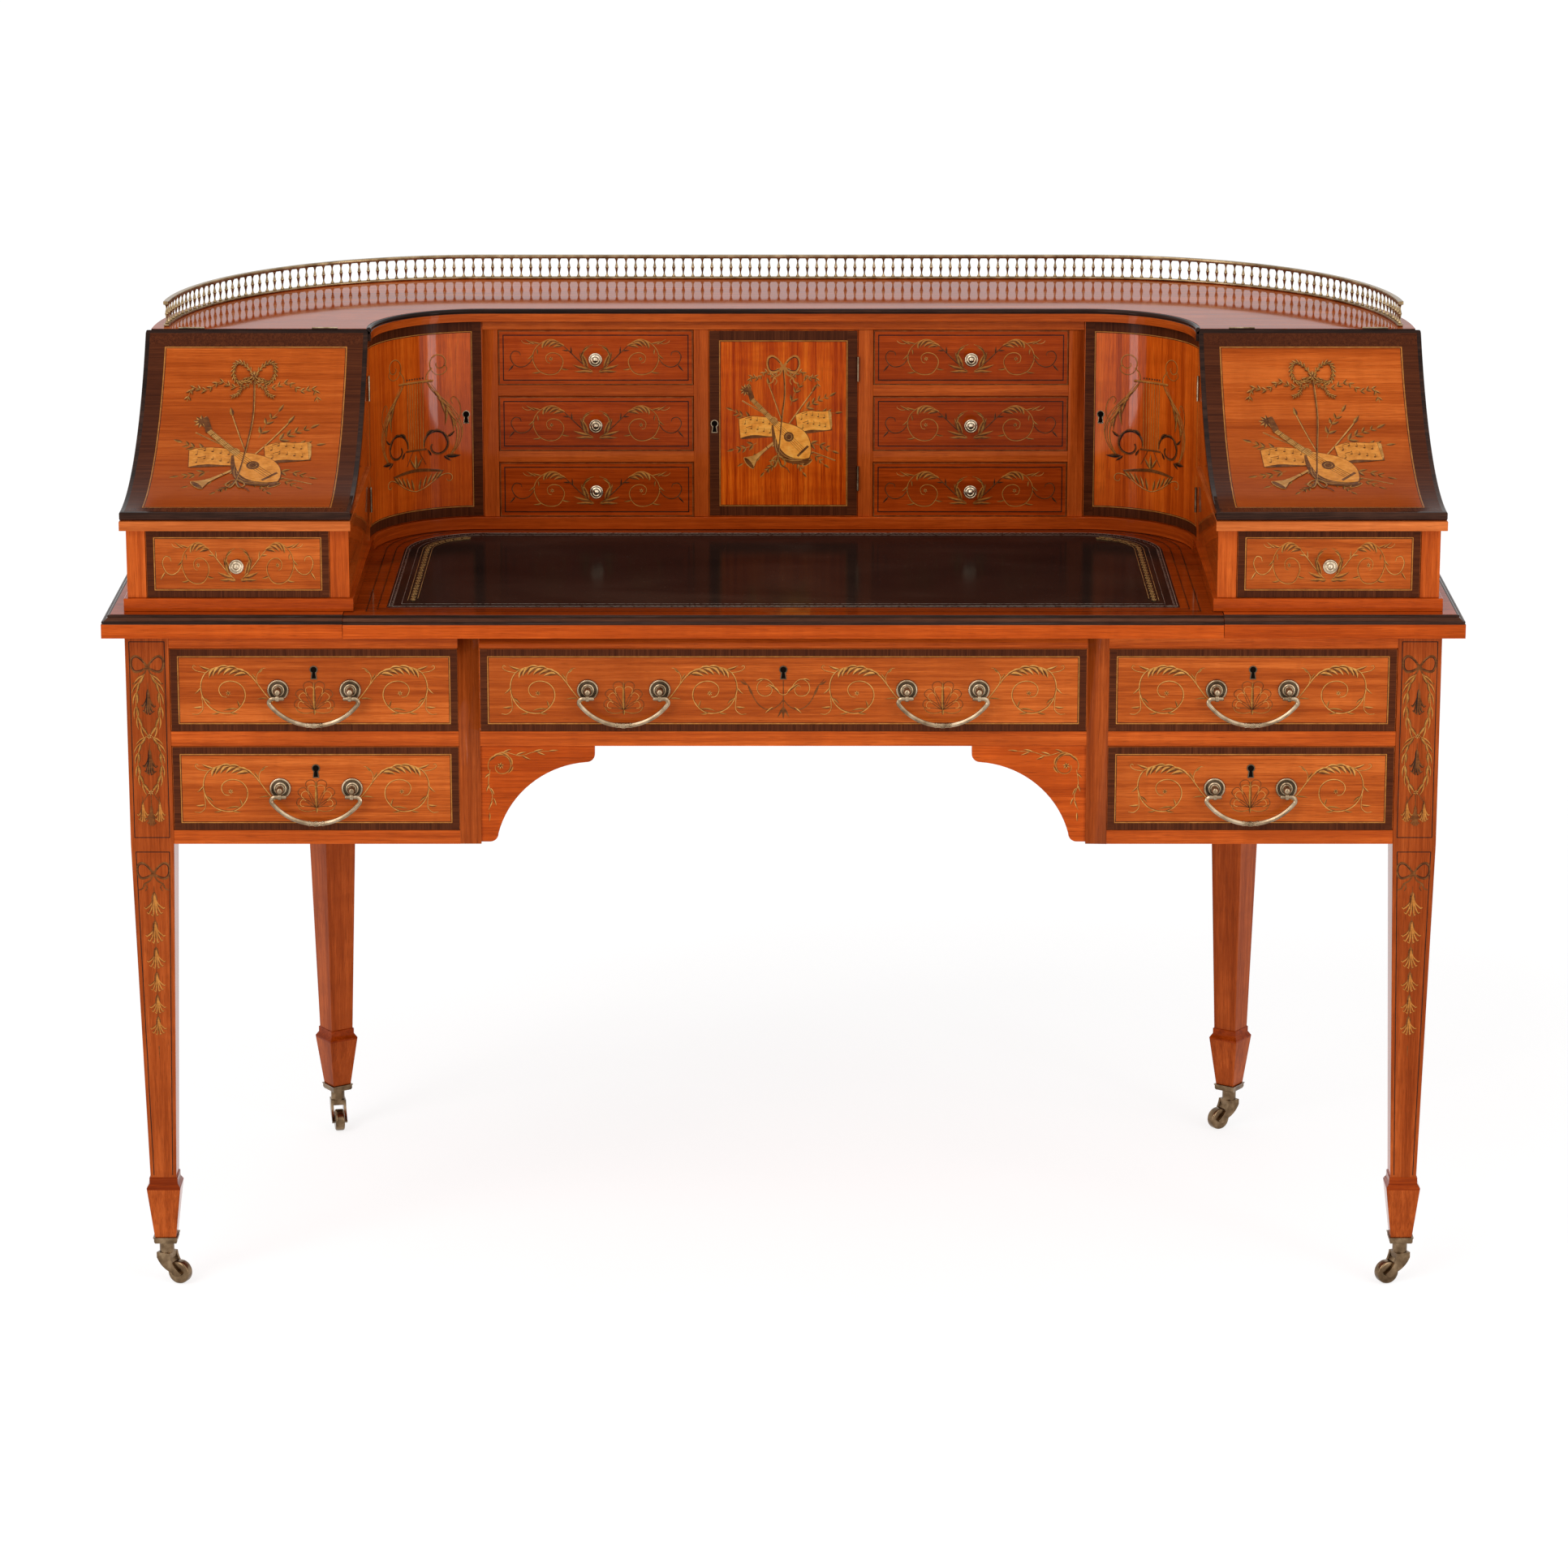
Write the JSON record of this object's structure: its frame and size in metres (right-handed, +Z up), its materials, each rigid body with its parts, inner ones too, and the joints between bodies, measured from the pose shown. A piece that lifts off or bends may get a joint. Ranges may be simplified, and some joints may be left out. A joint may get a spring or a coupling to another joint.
{
  "type": "carlton house desk",
  "caption": "D-shaped writing desk with frieze drawers, a leather writing slide, and a curved superstructure of drawers, doors and cove lids under a gallery, on tapered legs with casters.",
  "frame": {"origin": "on the floor under the middle of the desk top's bounding box", "axes": "+X to the sitter's right, +Y away from the sitter to the back, +Z up"},
  "size_m": [1.428, 0.68, 1.028],
  "materials": {
    "satinwood": "polished satinwood veneer with marquetry and ebonised mouldings",
    "leather": "dark brown skiver with gilt tooling",
    "brass": "aged lacquered brass"
  },
  "bodies": {
    "carcass": {"legs": "satinwood", "caster_cups": "brass", "frieze_panels": "satinwood", "frieze_frame": "satinwood", "knee_brackets": "satinwood", "desk_top": "satinwood", "upper_plinth": "satinwood", "upper_panels": "satinwood", "upper_dividers": "satinwood", "upper_top": "satinwood", "gallery_rails": "brass", "gallery_balusters": "brass", "hinges": "brass"},
    "writing_slide": {"writing_slide": "satinwood", "writing_leather": "leather"},
    "drawer_left_upper": {"drawer_left_upper": "satinwood", "fittings_left_upper": "brass"},
    "bail_left_upper": {"bail_left_upper": "brass"},
    "drawer_left_lower": {"drawer_left_lower": "satinwood", "fittings_left_lower": "brass"},
    "bail_left_lower": {"bail_left_lower": "brass"},
    "drawer_right_upper": {"drawer_right_upper": "satinwood", "fittings_right_upper": "brass"},
    "bail_right_upper": {"bail_right_upper": "brass"},
    "drawer_right_lower": {"drawer_right_lower": "satinwood", "fittings_right_lower": "brass"},
    "bail_right_lower": {"bail_right_lower": "brass"},
    "drawer_centre": {"drawer_centre": "satinwood", "fittings_centre": "brass"},
    "bail_centre1": {"bail_centre1": "brass"},
    "bail_centre2": {"bail_centre2": "brass"},
    "small_drawer_left_low": {"small_drawer_left_low": "satinwood", "knob_left_low": "brass"},
    "small_drawer_left_mid": {"small_drawer_left_mid": "satinwood", "knob_left_mid": "brass"},
    "small_drawer_left_top": {"small_drawer_left_top": "satinwood", "knob_left_top": "brass"},
    "box_drawer_left": {"box_drawer_left": "satinwood", "knob_left_box": "brass"},
    "lid_left": {"lid_left": "satinwood"},
    "door_left": {"door_left": "satinwood"},
    "small_drawer_right_low": {"small_drawer_right_low": "satinwood", "knob_right_low": "brass"},
    "small_drawer_right_mid": {"small_drawer_right_mid": "satinwood", "knob_right_mid": "brass"},
    "small_drawer_right_top": {"small_drawer_right_top": "satinwood", "knob_right_top": "brass"},
    "box_drawer_right": {"box_drawer_right": "satinwood", "knob_right_box": "brass"},
    "lid_right": {"lid_right": "satinwood"},
    "door_right": {"door_right": "satinwood"},
    "door_centre": {"door_centre": "satinwood"},
    "caster_fork_front_left": {"caster_fork_front_left": "brass"},
    "caster_wheel_front_left": {"caster_wheel_front_left": "brass"},
    "caster_fork_front_right": {"caster_fork_front_right": "brass"},
    "caster_wheel_front_right": {"caster_wheel_front_right": "brass"},
    "caster_fork_rear_left": {"caster_fork_rear_left": "brass"},
    "caster_wheel_rear_left": {"caster_wheel_rear_left": "brass"},
    "caster_fork_rear_right": {"caster_fork_rear_right": "brass"},
    "caster_wheel_rear_right": {"caster_wheel_rear_right": "brass"}
  },
  "joints": [
    {"name": "writing_slide_pull", "type": "slide", "parent": "carcass", "child": "writing_slide", "axis": [0, -1, 0], "range_m": [0, 0.2]},
    {"name": "drawer_left_upper_pull", "type": "slide", "parent": "carcass", "child": "drawer_left_upper", "axis": [0, -1, 0], "range_m": [0, 0.28]},
    {"name": "bail_left_upper_swing", "type": "hinge", "parent": "drawer_left_upper", "child": "bail_left_upper", "pos_m": [-0.494, -0.33, 0.659], "axis": [-1, 0, 0], "range_deg": [0, 90]},
    {"name": "drawer_left_lower_pull", "type": "slide", "parent": "carcass", "child": "drawer_left_lower", "axis": [0, -1, 0], "range_m": [0, 0.28]},
    {"name": "bail_left_lower_swing", "type": "hinge", "parent": "drawer_left_lower", "child": "bail_left_lower", "pos_m": [-0.494, -0.33, 0.552], "axis": [-1, 0, 0], "range_deg": [0, 90]},
    {"name": "drawer_right_upper_pull", "type": "slide", "parent": "carcass", "child": "drawer_right_upper", "axis": [0, -1, 0], "range_m": [0, 0.28]},
    {"name": "bail_right_upper_swing", "type": "hinge", "parent": "drawer_right_upper", "child": "bail_right_upper", "pos_m": [0.494, -0.33, 0.659], "axis": [-1, 0, 0], "range_deg": [0, 90]},
    {"name": "drawer_right_lower_pull", "type": "slide", "parent": "carcass", "child": "drawer_right_lower", "axis": [0, -1, 0], "range_m": [0, 0.28]},
    {"name": "bail_right_lower_swing", "type": "hinge", "parent": "drawer_right_lower", "child": "bail_right_lower", "pos_m": [0.494, -0.33, 0.552], "axis": [-1, 0, 0], "range_deg": [0, 90]},
    {"name": "drawer_centre_pull", "type": "slide", "parent": "carcass", "child": "drawer_centre", "axis": [0, -1, 0], "range_m": [0, 0.34]},
    {"name": "bail_centre1_swing", "type": "hinge", "parent": "drawer_centre", "child": "bail_centre1", "pos_m": [-0.168, -0.33, 0.659], "axis": [-1, 0, 0], "range_deg": [0, 90]},
    {"name": "bail_centre2_swing", "type": "hinge", "parent": "drawer_centre", "child": "bail_centre2", "pos_m": [0.168, -0.33, 0.659], "axis": [-1, 0, 0], "range_deg": [0, 90]},
    {"name": "small_drawer_left_low_pull", "type": "slide", "parent": "carcass", "child": "small_drawer_left_low", "axis": [0, -1, 0], "range_m": [0, 0.13]},
    {"name": "small_drawer_left_mid_pull", "type": "slide", "parent": "carcass", "child": "small_drawer_left_mid", "axis": [0, -1, 0], "range_m": [0, 0.13]},
    {"name": "small_drawer_left_top_pull", "type": "slide", "parent": "carcass", "child": "small_drawer_left_top", "axis": [0, -1, 0], "range_m": [0, 0.13]},
    {"name": "box_drawer_left_pull", "type": "slide", "parent": "carcass", "child": "box_drawer_left", "axis": [0, -1, 0], "range_m": [0, 0.18]},
    {"name": "lid_left_hinge", "type": "hinge", "parent": "carcass", "child": "lid_left", "pos_m": [-0.573, -0.03015, 1.0018], "axis": [-1, 0, 0], "range_deg": [0, 100]},
    {"name": "door_left_hinge", "type": "hinge", "parent": "carcass", "child": "door_left", "pos_m": [-0.4532, -0.0197, 0.87], "axis": [0, 0, -1], "range_deg": [0, 90]},
    {"name": "small_drawer_right_low_pull", "type": "slide", "parent": "carcass", "child": "small_drawer_right_low", "axis": [0, -1, 0], "range_m": [0, 0.13]},
    {"name": "small_drawer_right_mid_pull", "type": "slide", "parent": "carcass", "child": "small_drawer_right_mid", "axis": [0, -1, 0], "range_m": [0, 0.13]},
    {"name": "small_drawer_right_top_pull", "type": "slide", "parent": "carcass", "child": "small_drawer_right_top", "axis": [0, -1, 0], "range_m": [0, 0.13]},
    {"name": "box_drawer_right_pull", "type": "slide", "parent": "carcass", "child": "box_drawer_right", "axis": [0, -1, 0], "range_m": [0, 0.18]},
    {"name": "lid_right_hinge", "type": "hinge", "parent": "carcass", "child": "lid_right", "pos_m": [0.573, -0.03015, 1.0018], "axis": [-1, 0, 0], "range_deg": [0, 100]},
    {"name": "door_right_hinge", "type": "hinge", "parent": "carcass", "child": "door_right", "pos_m": [0.4532, -0.0197, 0.87], "axis": [0, 0, 1], "range_deg": [0, 90]},
    {"name": "door_centre_hinge", "type": "hinge", "parent": "carcass", "child": "door_centre", "pos_m": [0.0832, 0.0982, 0.87], "axis": [0, 0, 1], "range_deg": [0, 90]},
    {"name": "caster_swivel_front_left", "type": "hinge", "parent": "carcass", "child": "caster_fork_front_left", "pos_m": [-0.669, -0.297, 0.04], "axis": [0, 0, 1], "continuous": true},
    {"name": "caster_roll_front_left", "type": "hinge", "parent": "caster_fork_front_left", "child": "caster_wheel_front_left", "pos_m": [-0.6545, -0.30376, 0.0127], "axis": [0.4226, 0.9063, 0], "continuous": true},
    {"name": "caster_swivel_front_right", "type": "hinge", "parent": "carcass", "child": "caster_fork_front_right", "pos_m": [0.669, -0.297, 0.04], "axis": [0, 0, 1], "continuous": true},
    {"name": "caster_roll_front_right", "type": "hinge", "parent": "caster_fork_front_right", "child": "caster_wheel_front_right", "pos_m": [0.6545, -0.30376, 0.0127], "axis": [0.4226, -0.9063, 0], "continuous": true},
    {"name": "caster_swivel_rear_left", "type": "hinge", "parent": "carcass", "child": "caster_fork_rear_left", "pos_m": [-0.52574, 0.23944, 0.04], "axis": [0, 0, 1], "continuous": true},
    {"name": "caster_roll_rear_left", "type": "hinge", "parent": "caster_fork_rear_left", "child": "caster_wheel_rear_left", "pos_m": [-0.52296, 0.22368, 0.0127], "axis": [0.9848, 0.1736, 0], "continuous": true},
    {"name": "caster_swivel_rear_right", "type": "hinge", "parent": "carcass", "child": "caster_fork_rear_right", "pos_m": [0.52574, 0.23944, 0.04], "axis": [0, 0, 1], "continuous": true},
    {"name": "caster_roll_rear_right", "type": "hinge", "parent": "caster_fork_rear_right", "child": "caster_wheel_rear_right", "pos_m": [0.51263, 0.23026, 0.0127], "axis": [0.5736, -0.8192, 0], "continuous": true}
  ]
}
